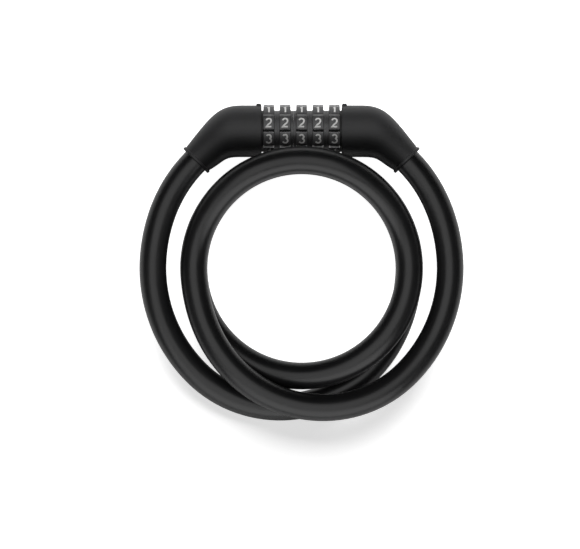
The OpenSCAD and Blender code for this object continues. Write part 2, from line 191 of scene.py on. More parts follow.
class Route:
    """The cable's centre line: angles in degrees, counted on through every turn."""

    def __init__(self):
        s = sizes()
        self.s = s
        self.mouth_angle = START_ANGLE + math.degrees(s.elbow_bend)
        self.end_angle = 2.0 * BOTTOM_ANGLE - self.mouth_angle
        self.floor_z = s.cable_d / 2 - s.cable_d / 10
        self.second_z = self.floor_z + s.cable_d + s.strand_gap
        reach = s.dial_d / 2 + s.cable_d / 2 + TOUCH
        rise = math.sqrt(reach ** 2 - (s.lock_y - s.inner_loop_r) ** 2)
        self.lock_z = self.floor_z + rise
        self.top_z = self.lock_z + rise
        self.leg = Vector((-math.cos(s.elbow_bend), -math.sin(s.elbow_bend), 0.0))
        turn = math.radians(self.mouth_angle)
        tangent = s.mouth_r * Vector((math.cos(turn), math.sin(turn), 0.0))
        self.corner_to_tangent = (s.lock_y - tangent.y) / math.sin(s.elbow_bend)
        self.corner_x = tangent.x + self.corner_to_tangent * math.cos(s.elbow_bend)

    def radius(self, angle):
        s = self.s
        from_bottom = abs(angle - BOTTOM_ANGLE)
        from_mouth = min(angle - self.mouth_angle, self.end_angle - angle)
        spread = smooth((from_bottom - SPREAD_FROM) / SPREAD_OVER)
        meet = 1.0 - smooth(from_mouth / MOUTH_OVER)
        return (
            s.inner_loop_r
            + (s.outer_loop_r - s.inner_loop_r) * spread
            + (s.mouth_r - s.outer_loop_r) * meet
        )

    def height(self, angle):
        last = min(1.0, max(0.0, (angle - SAG_FROM) / (self.end_angle - SAG_FROM)))
        return (
            self.floor_z
            + (self.lock_z - self.floor_z) * (1.0 - between(angle, DESCENT))
            + (self.second_z - self.floor_z) * between(angle, CLIMB)
            + (self.top_z - self.second_z) * (between(angle, CLIMB_TOP) - between(angle, FALL_TOP))
            + (self.lock_z - self.second_z) * smooth(last)
            - self.s.sag * math.sin(math.pi * last) ** 2
        )

    def point(self, angle):
        turn = math.radians(angle)
        r = self.radius(angle)
        return Vector((r * math.cos(turn), r * math.sin(turn), self.height(angle)))

    def heading(self, angle):
        return (self.point(angle + 0.5) - self.point(angle - 0.5)).normalized()

    def left_leg(self, distance):
        """A point on the left elbow's leg, that far from the bend's corner."""
        corner = Vector((self.corner_x, self.s.lock_y, self.lock_z))
        return corner + distance * self.leg

    def right_leg(self, distance):
        p = self.left_leg(distance)
        return Vector((-p.x, p.y, p.z))

    def straight(self, leg, heading, start, end, step):
        """Stations along a leg, from one distance to the other, both included."""
        count = max(1, round(abs(end - start) / step))
        return [
            (leg(start + (end - start) * i / count), heading)
            for i in range(count + 1)
        ]

    def turns(self, first, last, step):
        count = max(1, round((last - first) / step))
        angles = [first + (last - first) * i / count for i in range(count + 1)]
        return [(self.point(a), self.heading(a)) for a in angles]

    def coil(self, start, step):
        """Stations from inside the left elbow to where the cable's end piece begins."""
        lead_in = self.straight(self.left_leg, self.leg, start, self.corner_to_tangent, 2 * MM)
        return lead_in[:-1] + self.turns(self.mouth_angle, SPLIT_ANGLE, step)

    def tail(self, start, step):
        """Stations of the cable's end piece, into the right elbow."""
        inwards = Vector((self.leg.x, -self.leg.y, 0.0))
        lead_out = self.straight(self.right_leg, inwards, self.corner_to_tangent, start, 2 * MM)
        return self.turns(SPLIT_ANGLE, self.end_angle, step) + lead_out[1:]


# ------------------------------------------------------------------ mesh helpers

def new_piece(name, bm, material, shade_smooth=True):
    """Turn a bmesh into an object with one material."""
    bmesh.ops.recalc_face_normals(bm, faces=bm.faces)
    mesh = bpy.data.meshes.new(name)
    bm.to_mesh(mesh)
    bm.free()
    mesh.materials.append(material)
    if shade_smooth:
        mesh.shade_smooth()
    piece = bpy.data.objects.new(name, mesh)
    bpy.context.scene.collection.objects.link(piece)
    return piece


def sharpen(piece, degrees):
    """Keep edges sharp that bend more than this."""
    piece.data.set_sharp_from_angle(angle=math.radians(degrees))
    return piece


def loft(bm, rings, close_start=True, close_end=True):
    """Bridge rings of equal length and close the ends."""
    made = [[bm.verts.new(p) for p in ring] for ring in rings]
    count = len(made[0])
    for a, b in zip(made, made[1:]):
        for k in range(count):
            bm.faces.new((a[k], a[(k + 1) % count], b[(k + 1) % count], b[k]))
    if close_start:
        bm.faces.new(reversed(made[0]))
    if close_end:
        bm.faces.new(made[-1])
    return made


def loft_closed(bm, rings):
    """Bridge rings into a closed loop of rings, such as a bored wheel."""
    made = [[bm.verts.new(p) for p in ring] for ring in rings]
    count = len(made[0])
    for a, b in zip(made, made[1:] + made[:1]):
        for k in range(count):
            bm.faces.new((a[k], a[(k + 1) % count], b[(k + 1) % count], b[k]))


def circle_ring(station, radius, count):
    """Points round a station, square to its heading."""
    centre, heading = station
    side = heading.cross(Vector((0, 0, 1))).normalized()
    up = side.cross(heading)
    return [
        centre
        + radius * math.cos(2 * math.pi * k / count) * side
        + radius * math.sin(2 * math.pi * k / count) * up
        for k in range(count)
    ]


def on_floor(ring):
    """Nothing of a cable lies below the floor."""
    return [Vector((p.x, p.y, max(0.0, p.z))) for p in ring]


def mirrored(points):
    return [Vector((-p.x, p.y, p.z)) for p in points]


# ------------------------------------------------------------------ materials

def node_group(name, inputs, outputs):
    """An empty shader group with named sockets."""
    group = bpy.data.node_groups.get(name)
    if group:
        return group, None, None
    group = bpy.data.node_groups.new(name, "ShaderNodeTree")
    for label, kind, value in inputs:
        socket = group.interface.new_socket(name=label, in_out="INPUT", socket_type=kind)
        socket.default_value = value
    for label, kind in outputs:
        group.interface.new_socket(name=label, in_out="OUTPUT", socket_type=kind)
    entry = group.nodes.new("NodeGroupInput")
    result = group.nodes.new("NodeGroupOutput")
    return group, entry, result


def add(tree, kind, **inputs):
    """A node with some of its sockets set; underscores stand for spaces."""
    node = tree.nodes.new(kind)
    for key, value in inputs.items():
        node.inputs[key.replace("_", " ")].default_value = value
    return node


def maths(tree, operation, a, b=None):
    """A Math node; a and b are sockets or numbers."""
    node = tree.nodes.new("ShaderNodeMath")
    node.operation = operation
    for i, value in enumerate((a, b)):
        if value is None:
            continue
        if isinstance(value, (int, float)):
            node.inputs[i].default_value = value
        else:
            tree.links.new(value, node.inputs[i])
    return node.outputs[0]


def moulded_grain_group():
    """Fine spark-eroded grain and slow mottling of moulded plastic."""
    group, entry, result = node_group(
        "Moulded grain",
        [
            ("Grain Scale", "NodeSocketFloat", 4000.0),
            ("Mottle Scale", "NodeSocketFloat", 90.0),
        ],
        [("Height", "NodeSocketFloat"), ("Mottle", "NodeSocketFloat")],
    )
    if entry is None:
        return group
    place = group.nodes.new("ShaderNodeTexCoord")
    grain = add(group, "ShaderNodeTexNoise", Detail=3.0, Roughness=0.6)
    mottle = add(group, "ShaderNodeTexNoise", Detail=2.0, Roughness=0.5)
    for node, label in ((grain, "Grain Scale"), (mottle, "Mottle Scale")):
        group.links.new(place.outputs["Object"], node.inputs["Vector"])
        group.links.new(entry.outputs[label], node.inputs["Scale"])
    group.links.new(grain.outputs["Fac"], result.inputs["Height"])
    group.links.new(mottle.outputs["Fac"], result.inputs["Mottle"])
    return group


def edge_wear_group():
    """A mask that is 1 on worn outer edges, broken up by noise."""
    group, entry, result = node_group(
        "Edge wear",
        [("Amount", "NodeSocketFloat", 0.5), ("Break Up", "NodeSocketFloat", 700.0)],
        [("Mask", "NodeSocketFloat")],
    )
    if entry is None:
        return group
    shape = group.nodes.new("ShaderNodeNewGeometry")
    place = group.nodes.new("ShaderNodeTexCoord")
    noise = add(group, "ShaderNodeTexNoise", Detail=4.0, Roughness=0.65)
    group.links.new(place.outputs["Object"], noise.inputs["Vector"])
    group.links.new(entry.outputs["Break Up"], noise.inputs["Scale"])
    ridge = group.nodes.new("ShaderNodeMapRange")
    ridge.inputs["From Min"].default_value = 0.53
    ridge.inputs["From Max"].default_value = 0.66
    group.links.new(shape.outputs["Pointiness"], ridge.inputs["Value"])
    broken = maths(group, "MULTIPLY", ridge.outputs["Result"], noise.outputs["Fac"])
    group.links.new(maths(group, "MULTIPLY", broken, entry.outputs["Amount"]), result.inputs["Mask"])
    return group


def new_material(name, colour):
    """A node material with its shader and a colour mix that masks can drive."""
    material = bpy.data.materials.new(name)
    material.use_nodes = True
    material.diffuse_color = (*colour, 1.0)
    tree = material.node_tree
    shader = tree.nodes["Principled BSDF"]
    shader.inputs["Base Color"].default_value = (*colour, 1.0)
    return material, tree, shader


def colour_between(tree, factor, low, high):
    """Colour that runs from low to high with a mask."""
    mix = tree.nodes.new("ShaderNodeMix")
    mix.data_type = "RGBA"
    mix.inputs["A"].default_value = (*low, 1.0)
    mix.inputs["B"].default_value = (*high, 1.0)
    tree.links.new(factor, mix.inputs["Factor"])
    return mix.outputs["Result"]


def value_between(tree, factor, low, high):
    """Number that runs from low to high as a mask runs from 0 to 1."""
    node = tree.nodes.new("ShaderNodeMapRange")
    node.inputs["To Min"].default_value = low
    node.inputs["To Max"].default_value = high
    tree.links.new(factor, node.inputs["Value"])
    return node.outputs["Result"]


def bump(tree, shader, height, strength, distance):
    """Relief from a height; strength and depth are plain numbers."""
    node = tree.nodes.new("ShaderNodeBump")
    node.inputs["Strength"].default_value = strength
    node.inputs["Distance"].default_value = distance
    tree.links.new(height, node.inputs["Height"])
    tree.links.new(node.outputs["Normal"], shader.inputs["Normal"])


def shade(colour, factor):
    return tuple(min(1.0, c * factor) for c in colour)


def plastic(name, colour, roughness, specular, grain_scale, grain_depth, wear):
    """Moulded plastic: grain in the relief, mottled gloss, paler worn edges."""
    material, tree, shader = new_material(name, colour)
    grain = tree.nodes.new("ShaderNodeGroup")
    grain.node_tree = moulded_grain_group()
    grain.inputs["Grain Scale"].default_value = grain_scale
    edges = tree.nodes.new("ShaderNodeGroup")
    edges.node_tree = edge_wear_group()
    edges.inputs["Amount"].default_value = wear
    mottled = colour_between(tree, grain.outputs["Mottle"], shade(colour, 0.8), shade(colour, 1.2))
    worn = tree.nodes.new("ShaderNodeMix")
    worn.data_type = "RGBA"
    worn.inputs["B"].default_value = (*shade(colour, 6.0), 1.0)
    tree.links.new(mottled, worn.inputs["A"])
    tree.links.new(edges.outputs["Mask"], worn.inputs["Factor"])
    tree.links.new(worn.outputs["Result"], shader.inputs["Base Color"])
    rough = value_between(tree, grain.outputs["Mottle"], roughness - 0.05, roughness + 0.05)
    tree.links.new(rough, shader.inputs["Roughness"])
    shader.inputs["Specular IOR Level"].default_value = specular
    bump(tree, shader, grain.outputs["Height"], 0.35, grain_depth)
    return material


def metal(name, colour, roughness):
    """Turned metal: fine lines round the part and a little tarnish."""
    material, tree, shader = new_material(name, colour)
    grain = tree.nodes.new("ShaderNodeGroup")
    grain.node_tree = moulded_grain_group()
    grain.inputs["Grain Scale"].default_value = 2500.0
    grain.inputs["Mottle Scale"].default_value = 240.0
    tarnish = colour_between(tree, grain.outputs["Mottle"], shade(colour, 0.75), shade(colour, 1.12))
    tree.links.new(tarnish, shader.inputs["Base Color"])
    rough = value_between(tree, grain.outputs["Mottle"], roughness - 0.06, roughness + 0.1)
    tree.links.new(rough, shader.inputs["Roughness"])
    shader.inputs["Metallic"].default_value = 1.0
    bump(tree, shader, grain.outputs["Height"], 0.25, 0.00002)
    return material


FINISHES = {
    "Sheath vinyl": lambda c: plastic("Sheath vinyl", c.sheath, 0.33, 0.42, 1500.0, 0.00002, 0.0),
    "Elbow plastic": lambda c: plastic("Elbow plastic", c.elbow, 0.48, 0.3, 3500.0, 0.00003, 0.35),
    "Dial plastic": lambda c: plastic("Dial plastic", c.dial, 0.4, 0.6, 3500.0, 0.00003, 0.5),
    # Notch floors: a dark copy of the dial colour, painted shade that stands in for the shade down in the
    # notches.
    "Notch painted shade": lambda c: plastic("Notch painted shade", shade(c.dial, 0.2), 0.6, 0.1, 3500.0, 0.00003, 0.0),
    # Notch walls: a pale colour, painted highlight that stands in for light catching the walls.
    "Notch painted highlight": lambda c: plastic("Notch painted highlight", c.notch_painted_highlight, 0.5, 0.5, 3500.0, 0.00003, 0.0),
    "Number print": lambda c: plastic("Number print", c.numerals, 0.5, 0.3, 5000.0, 0.00001, 0.0),
    "Sleeve acetal": lambda c: plastic("Sleeve acetal", c.sleeve, 0.4, 0.5, 2500.0, 0.00002, 0.2),
    "Turned steel": lambda c: metal("Turned steel", c.steel, 0.3),
    "Stamped brass": lambda c: metal("Stamped brass", c.brass, 0.34),
}


def finish_of(name):
    """The material of that name, made when first asked for."""
    return bpy.data.materials.get(name) or FINISHES[name](colours())


# ------------------------------------------------------------------ the cable

SHEATH_SIDES = 48
SHEATH_START = 8 * MM
ROPE_SIDES = 24
ROPE_STRANDS = 6
ROPE_LAY = 0.055
ROPE_GROOVE = 0.14
RING_STEP = 2.5


def sheath_piece(name, stations):
    bm = bmesh.new()
    r = sizes().cable_d / 2
    loft(bm, [on_floor(circle_ring(s, r, SHEATH_SIDES)) for s in stations])
    return sharpen(new_piece(name, bm, finish_of("Sheath vinyl")), 30)


def rope_piece(name, stations):
    """Six strands laid round each other, as one lobed solid."""
    bm = bmesh.new()
    outer = sizes().rope_d / 2
    rings = []
    along = 0.0
    before = stations[0][0]
    for centre, heading in stations:
        along += (centre - before).length
        before = centre
        twist = 2 * math.pi * along / ROPE_LAY
        side = heading.cross(Vector((0, 0, 1))).normalized()
        up = side.cross(heading)
        ring = []
        for k in range(ROPE_SIDES):
            turn = 2 * math.pi * k / ROPE_SIDES
            lobe = abs(math.sin(ROPE_STRANDS * (turn - twist) / 2))
            r = outer * (1 - ROPE_GROOVE * (1 - lobe))
            ring.append(centre + r * (math.cos(turn) * side + math.sin(turn) * up))
        rings.append(ring)
    loft(bm, rings)
    return new_piece(name, bm, finish_of("Turned steel"))


class CABLELOCK_OT_cable(bpy.types.Operator):
    """Build the sheath and the wire rope, coiled and into both elbows"""

    bl_idname = "cable_lock.cable"
    bl_label = "Cable"

    def execute(self, context):
        route = Route()
        coil_line = route.coil(SHEATH_START, RING_STEP)
        tail_line = route.tail(SHEATH_START, RING_STEP)
        coil = sheath_piece("cable_sheath_coil", coil_line)
        tail = sheath_piece("cable_sheath_tail", tail_line)
        rope_coil = rope_piece("wire_rope_coil", coil_line)
        rope_tail = rope_piece("wire_rope_tail", tail_line)
        for piece, node, slot in (
            (coil, "cable_coil", "sheath"),
            (tail, "cable_tail", "sheath"),
            (rope_coil, "rope_coil", "wire_rope"),
            (rope_tail, "rope_tail", "wire_rope"),
        ):
            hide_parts(node)
        for piece in (coil, rope_coil):
            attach(piece, ROOT_BODY)
        for piece in (coil, tail):
            for lamp in CABLE_LAMPS:
                light_only(lamp, piece)
            for lamp in LOCK_LAMPS:
                light_all_but(lamp, piece)
        for piece in (tail, rope_tail):
            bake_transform(piece)
        return {"FINISHED"}


# ------------------------------------------------------------------ elbows and grommets

ELBOW_SIDES = 96
BEND_STEPS = 40
EDGE_STEPS = 5
BARREL_STEPS = 5
BARREL_END = 26.5 * MM
OUTER_HANDLES = (10.5 * MM, 18.0 * MM, math.radians(52))
INNER_HANDLES = (8.5 * MM, 9.0 * MM, math.radians(30))
EDGE_R = 0.25 * MM
END_GAP = 0.03 * MM
COLLAR_R = 9.35 * MM
COLLAR_LEN = 0.45 * MM
RECESS_R = 7.6 * MM
BORE_PLAY = 0.1 * MM
LEFT_RECESS = 1.2 * MM
RIGHT_RECESS = 2.9 * MM
FLANGE_R = 7.2 * MM
PIN_HOLE_R = 1.25 * MM
PIN_CLEAR = 0.02 * MM
HOLE_SIDES = 40


def face_x():
    s = sizes()
    return s.dial_count * s.dial_pitch / 2 + s.dial_gap / 2


def rim_x():
    """Where an elbow's rim stands, just clear of the end dial."""
    s = sizes()
    return (s.dial_count * s.dial_pitch - HAIRLINE) / 2 + END_GAP


def bezier(points, t):
    a, b, c, d = points
    return (1 - t) ** 3 * a + 3 * t * (1 - t) ** 2 * b + 3 * t * t * (1 - t) * c + t ** 3 * d


def side_curve(start, end, handles):
    """One side of the bend: level at the barrel, and sloping down to the mouth."""
    first, second, slope = handles
    back = Vector((math.cos(slope), math.sin(slope), 0.0))
    return (start, start - Vector((first, 0, 0)), end + second * back, end)


def oval_ring(outer, inner, count):
    """A round section between a point on the outer side and one on the inner side."""
    centre = (outer + inner) / 2
    half = (outer - inner) / 2
    up = Vector((0, 0, half.length))
    return [
        centre + math.cos(2 * math.pi * k / count) * half + math.sin(2 * math.pi * k / count) * up
        for k in range(count)
    ]


def elbow_rings(route):
    """Sections of the left elbow's skin, from the rim beside the dials to the mouth."""
    s = sizes()
    r = s.elbow_d / 2
    axis = Vector((0, s.lock_y, route.lock_z))

    def barrel(x, radius):
        outer = axis + Vector((-x, radius, 0))
        inner = axis + Vector((-x, -radius, 0))
        return oval_ring(outer, inner, ELBOW_SIDES)

    rings = []
    for i in range(EDGE_STEPS + 1):
        turn = math.pi / 2 * i / EDGE_STEPS
        rings.append(barrel(
            rim_x() - COLLAR_LEN + EDGE_R * (1 - math.cos(turn)),
            r - EDGE_R * (1 - math.sin(turn)),
        ))
    first = rim_x() - COLLAR_LEN + EDGE_R
    for i in range(1, BARREL_STEPS):
        rings.append(barrel(first + (BARREL_END - first) * i / BARREL_STEPS, r))
    mouth = route.left_leg(s.elbow_leg - s.lip_len)
    across = Vector((route.leg.y, -route.leg.x, 0.0)) * s.elbow_neck_d / 2
    outer = side_curve(axis + Vector((-BARREL_END, r, 0)), mouth + across, OUTER_HANDLES)
    inner = side_curve(axis + Vector((-BARREL_END, -r, 0)), mouth - across, INNER_HANDLES)
    for i in range(BEND_STEPS + 1):
        t = i / BEND_STEPS
        rings.append(oval_ring(bezier(outer, t), bezier(inner, t), ELBOW_SIDES))
    return rings


def cut_hole(piece, centre, radius, depth):
    """A blind hole from below, over a cross pin's head."""
    bm = bmesh.new()
    bmesh.ops.create_cone(
        bm, cap_ends=True, segments=HOLE_SIDES, radius1=radius, radius2=radius, depth=2 * depth
    )
    bmesh.ops.translate(bm, verts=bm.verts, vec=centre)
    mesh = bpy.data.meshes.new("hole")
    bm.to_mesh(mesh)
    bm.free()
    cutter = bpy.data.objects.new("hole", mesh)
    bpy.context.scene.collection.objects.link(cutter)
    change = piece.modifiers.new("hole", "BOOLEAN")
    change.operation = "DIFFERENCE"
    change.solver = "EXACT"
    change.object = cutter
    graph = bpy.context.evaluated_depsgraph_get()
    graph.update()
    result = bpy.data.meshes.new_from_object(piece.evaluated_get(graph))
    piece.modifiers.clear()
    before = piece.data
    piece.data = result
    bpy.data.meshes.remove(before)
    bpy.data.objects.remove(cutter)
    bpy.data.meshes.remove(mesh)


def elbow_piece(name, route, recess_r, recess_depth, is_right):
    """An elbow's skin with the recess in its face."""
    s = sizes()
    west = Vector((-1, 0, 0))
    axis = Vector((0, s.lock_y, route.lock_z))
    start = [
        (axis + (face_x() + recess_depth) * west, west, 0.2 * recess_r),
        (axis + (face_x() + recess_depth) * west, west, recess_r),
        (axis + rim_x() * west, west, recess_r),
        (axis + rim_x() * west, west, COLLAR_R),
        (axis + (rim_x() - COLLAR_LEN) * west, west, COLLAR_R),
    ]
    closing = [
        (route.left_leg(s.elbow_leg - s.lip_len), route.leg, s.cable_d / 2 + BORE_PLAY),
        (route.left_leg(SHEATH_START - BORE_PLAY), route.leg, s.cable_d / 2 + BORE_PLAY),
    ]
    rings = [circle_ring(p[:2], p[2], ELBOW_SIDES) for p in start]
    rings += elbow_rings(route)
    rings += [circle_ring(p[:2], p[2], ELBOW_SIDES) for p in closing]
    if is_right:
        rings = [mirrored(ring) for ring in rings]
    bm = bmesh.new()
    loft(bm, rings)
    piece = new_piece(name, bm, finish_of("Elbow plastic"))
    for node in ("right_cable_pin", "shaft_pin") if is_right else ("left_cable_pin", "core_pin"):
        low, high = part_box(node)
        foot = Vector(((low[0] + high[0]) / 2, (low[1] + high[1]) / 2, 0.0))
        top = low[2] - PIN_CLEAR
        cut_hole(piece, foot, PIN_HOLE_R, top)
    return sharpen(piece, 35)


MARK_HALF_TURN = math.radians(15)
MARK_SINK = 0.3 * MM
MARK_INSET = 0.1 * MM
MARK_STEPS = (10, 24)
MARK_SQUARENESS = 8


def index_mark(name, route, is_right):
    """The raised bar beside the dials that a code is read against."""
    s = sizes()
    steps_x, steps_a = MARK_STEPS
    low = s.elbow_d / 2 - MARK_SINK
    centre_x = rim_x() - COLLAR_LEN + MARK_INSET + s.mark_w / 2
    bm = bmesh.new()
    grid = []
    for i in range(steps_x + 1):
        u = -1 + 2 * i / steps_x
        row = []
        for j in range(steps_a + 1):
            v = -1 + 2 * j / steps_a
            edge = ((1 - abs(u) ** MARK_SQUARENESS) * (1 - abs(v) ** MARK_SQUARENESS)) ** 0.5
            rise = low + (s.mark_h + MARK_SINK) * edge
            x = centre_x + u * s.mark_w / 2
            turn = v * MARK_HALF_TURN
            p = Vector((-x, s.lock_y + rise * math.cos(turn), route.lock_z + rise * math.sin(turn)))
            row.append(p)
        grid.append(mirrored(row) if is_right else row)
    verts = [[bm.verts.new(p) for p in row] for row in grid]
    for i in range(steps_x):
        for j in range(steps_a):
            bm.faces.new((verts[i][j], verts[i + 1][j], verts[i + 1][j + 1], verts[i][j + 1]))
    rim = (
        [verts[0][j] for j in range(steps_a + 1)]
        + [verts[i][steps_a] for i in range(1, steps_x + 1)]
        + [verts[steps_x][j] for j in range(steps_a - 1, -1, -1)]
        + [verts[i][0] for i in range(steps_x - 1, 0, -1)]
    )
    bm.faces.new(rim)
    return new_piece(name, bm, finish_of("Elbow plastic"))


class CABLELOCK_OT_elbows(bpy.types.Operator):
    """Build both bent end sleeves with their index marks"""

    bl_idname = "cable_lock.elbows"
    bl_label = "Elbows"

    def execute(self, context):
        route = Route()
        for side, body, recess_r, depth in (
            ("left", ROOT_BODY, FLANGE_R, LEFT_RECESS),
            ("right", PLUG_BODY, RECESS_R, RIGHT_RECESS),
        ):
            is_right = side == "right"
            elbow = elbow_piece(f"{side}_elbow_sleeve", route, recess_r, depth, is_right)
            mark = index_mark(f"{side}_index_mark", route, is_right)
            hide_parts(f"{side}_elbow")
            for piece in (elbow, mark):
                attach(piece, body)
        return {"FINISHED"}


GROMMET_SIDES = 96
LIP_STEPS = 12
LIP_SEAT = 7.2 * MM


def grommet_piece(name, route, is_right):
    """A full bead round the cable, seated against the elbow's end."""
    s = sizes()
    bore = s.cable_d / 2 + 0.05 * MM
    start = s.elbow_leg - s.lip_len
    crown = s.lip_d / 2 - LIP_SEAT
    profile = [(start - 1.0 * MM, bore), (start - 1.0 * MM, LIP_SEAT)]
    for i in range(LIP_STEPS + 1):
        u = -math.cos(math.pi * i / LIP_STEPS)
        profile.append((
            start + s.lip_len * (1 + u) / 2,
            LIP_SEAT + crown * (1 - u ** 4) ** 0.5,
        ))
    profile += [
        (start + s.lip_len, bore + 0.25 * MM),
        (start + s.lip_len - 0.2 * MM, bore),
    ]
    rings = [circle_ring((route.left_leg(d), route.leg), r, GROMMET_SIDES) for d, r in profile]
    if is_right:
        rings = [mirrored(r) for r in rings]
    bm = bmesh.new()
    loft_closed(bm, rings)
    return sharpen(new_piece(name, bm, finish_of("Elbow plastic")), 40)


class CABLELOCK_OT_grommets(bpy.types.Operator):
    """Build the lips that the cable comes out of"""

    bl_idname = "cable_lock.grommets"
    bl_label = "Grommets"

    def execute(self, context):
        route = Route()
        for side, body in (("left", ROOT_BODY), ("right", PLUG_BODY)):
            piece = grommet_piece(f"{side}_grommet_lip", route, side == "right")
            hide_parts(f"{side}_grommet")
            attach(piece, body)
        return {"FINISHED"}


# ------------------------------------------------------------------ dials and their numbers

BLOCK_STEPS = 14
CORNER_STEPS = 3
CORNER_R = 0.08 * MM
WALL_STEPS = 4
NOTCH_FLAT = 0.55 * MM
HAIRLINE = 0.02 * MM
END_BEVEL = 0.05 * MM
BAND_EDGE = 0.3 * MM
BAND_EDGE_MIDDLE = 0.09 * MM
BAND_FILLET = 0.25 * MM
# Material slots for the painted shade on the notch floors and the painted highlight on the notch walls.
NOTCH_SHADE_SLOT = 1
NOTCH_HIGHLIGHT_SLOT = 2


def dial_x(index):
    s = sizes()
    return (index - (s.dial_count + 1) / 2) * s.dial_pitch


def band_outline():
    """Polar points (turn, radius) round a dial's notched band."""
    s = sizes()
    r = s.dial_d / 2
    floor = r - s.notch_depth
    half = s.notch_w / 2
    sector = 2 * math.pi / s.notch_count
    wall = [(0.0, floor)]
    for i in range(WALL_STEPS + 1):
        t = i / WALL_STEPS
        wall.append((NOTCH_FLAT + (half - NOTCH_FLAT) * t, floor + (s.notch_depth - CORNER_R) * t))
    for i in range(1, CORNER_STEPS + 1):
        t = i / CORNER_STEPS
        wall.append((half + CORNER_R * t, r - CORNER_R * (1 - t) ** 2))
    rising = [(math.asin(across / radius), radius) for across, radius in wall]
    first = rising[-1][0]
    top = [
        (first + (sector - 2 * first) * i / BLOCK_STEPS, r)
        for i in range(1, BLOCK_STEPS)
    ]
    falling = [(sector - turn, radius) for turn, radius in reversed(rising[1:])]
    one = rising + top + falling
    return [
        (turn + sector * k, radius)
        for k in range(s.notch_count)
        for turn, radius in one
    ]


def dial_point(x, turn, radius, route):
    """A point on a dial; turns run from straight up towards +Y."""
    s = sizes()
    return Vector((x, s.lock_y + radius * math.sin(turn), route.lock_z + radius * math.cos(turn)))


def notch_faces(bm, route):
    """Give the notch floors a painted shade and the notch walls a painted highlight, each a material of
    its own.
    """
    s = sizes()
    r = s.dial_d / 2
    bm.normal_update()
    for face in bm.faces:
        middle = face.calc_center_median()
        out = Vector((0.0, middle.y - s.lock_y, middle.z - route.lock_z))
        along = out.normalized()
        facing = abs(face.normal.dot(along))
        if s.shoulder_d / 2 + 0.4 * MM < out.length < r - s.notch_depth + 0.03 * MM:
            if facing > 0.9:
                face.material_index = NOTCH_SHADE_SLOT
        elif r - s.notch_depth < out.length < r - CORNER_R and facing < 0.5:
            if abs(face.normal.x) < 0.5:
                face.material_index = NOTCH_HIGHLIGHT_SLOT


def dial_piece(index, route):
    s = sizes()
    x = dial_x(index)
    half = (s.dial_pitch - HAIRLINE) / 2
    band = s.band_w / 2
    shoulder = s.shoulder_d / 2
    bore = s.sleeve_d / 2
    outline = band_outline()
    top = s.dial_d / 2

    def ring(at, limit):
        return [dial_point(x + at, turn, min(limit, radius), route) for turn, radius in outline]

    half_profile = [
        (half, bore),
        (half, shoulder - END_BEVEL),
        (half - END_BEVEL, shoulder),
        (band + BAND_FILLET, shoulder),
        (band + 0.3 * BAND_FILLET, shoulder + 0.3 * BAND_FILLET),
        (band, shoulder + BAND_FILLET),
        (band, top - BAND_EDGE),
        (band - BAND_EDGE_MIDDLE, top - BAND_EDGE_MIDDLE),
        (band - BAND_EDGE, top),
        (band / 3, top),
    ]
    profile = half_profile + [(-at, limit) for at, limit in reversed(half_profile)]
    bm = bmesh.new()
    loft_closed(bm, [ring(at, limit) for at, limit in profile])
    notch_faces(bm, route)
    piece = new_piece(f"dial_{index}_ring", bm, finish_of("Dial plastic"))
    for finish in ("Notch painted shade", "Notch painted highlight"):
        piece.data.materials.append(finish_of(finish))
    return sharpen(piece, 35)


class CABLELOCK_OT_dials(bpy.types.Operator):
    """Build the notched dials"""

    bl_idname = "cable_lock.dials"
    bl_label = "Dials"

    def execute(self, context):
        route = Route()
        for index in range(1, sizes().dial_count + 1):
            piece = dial_piece(index, route)
            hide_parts(f"dial_{index}")
            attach(piece, f"dial_body_{index}")
        return {"FINISHED"}


def arc(centre, radius, start, end, steps=12):
    """Points of an elliptic arc; radius is one number or two, angles in degrees."""
    rx, ry = radius if isinstance(radius, tuple) else (radius, radius)
    return [
        (
            centre[0] + rx * math.cos(math.radians(start + (end - start) * i / steps)),
            centre[1] + ry * math.sin(math.radians(start + (end - start) * i / steps)),
        )
        for i in range(steps + 1)
    ]


def numeral_strokes(value):
    """Centre lines of a plain number in a box from (-1, -1) to (1, 1)."""
    upper, lower = (0.0, 0.5), (0.0, -0.44)
    shapes = {
        0: [arc((0, 0), (0.95, 1.0), 90, 450, 32)],
        1: [[(-0.45, 0.62), (0.1, 1.0), (0.1, -1.0)]],
        2: [
            arc((0, 0.42), (0.9, 0.58), 165, -20, 18)
            + [(0.5, -0.15), (-0.3, -0.55), (-0.85, -1.0), (0.95, -1.0)]
        ],
        3: [
            arc(upper, (0.8, 0.5), 155, -75, 16),
            arc(lower, (0.95, 0.56), 75, -155, 18),
        ],
        4: [[(0.45, -1.0), (0.45, 1.0), (-0.95, -0.4), (1.0, -0.4)]],
        5: [
            [(0.8, 1.0), (-0.65, 1.0), (-0.8, 0.05)]
            + arc((0, -0.35), (0.95, 0.65), 140, -150, 20)
        ],
        6: [
            arc((0, -0.38), (0.92, 0.62), 90, 450, 26),
            arc((0.15, -0.3), (1.07, 1.3), 180, 70, 14),
        ],
        7: [[(-0.9, 1.0), (0.95, 1.0), (0.2, 0.0), (-0.2, -1.0)]],
        8: [
            arc(upper, (0.78, 0.5), 90, 450, 24),
            arc(lower, (0.95, 0.56), 90, 450, 26),
        ],
        9: [
            arc((0, 0.38), (0.92, 0.62), 90, 450, 26),
            arc((-0.15, 0.3), (1.07, 1.3), 0, -110, 14),
        ],
    }
    return shapes[value]


PRINT_RISE = 0.03 * MM
PRINT_SINK = 0.08 * MM
PRINT_STEP = 0.4 * MM
TOP_NUMBER = 2.5


def finely(points, step):
    """The same line with points no further apart than the step."""
    line = [points[0]]
    for a, b in zip(points, points[1:]):
        count = max(1, math.ceil(math.hypot(b[0] - a[0], b[1] - a[1]) / step))
        line += [
            (a[0] + (b[0] - a[0]) * i / count, a[1] + (b[1] - a[1]) * i / count)
            for i in range(1, count + 1)
        ]
    return line


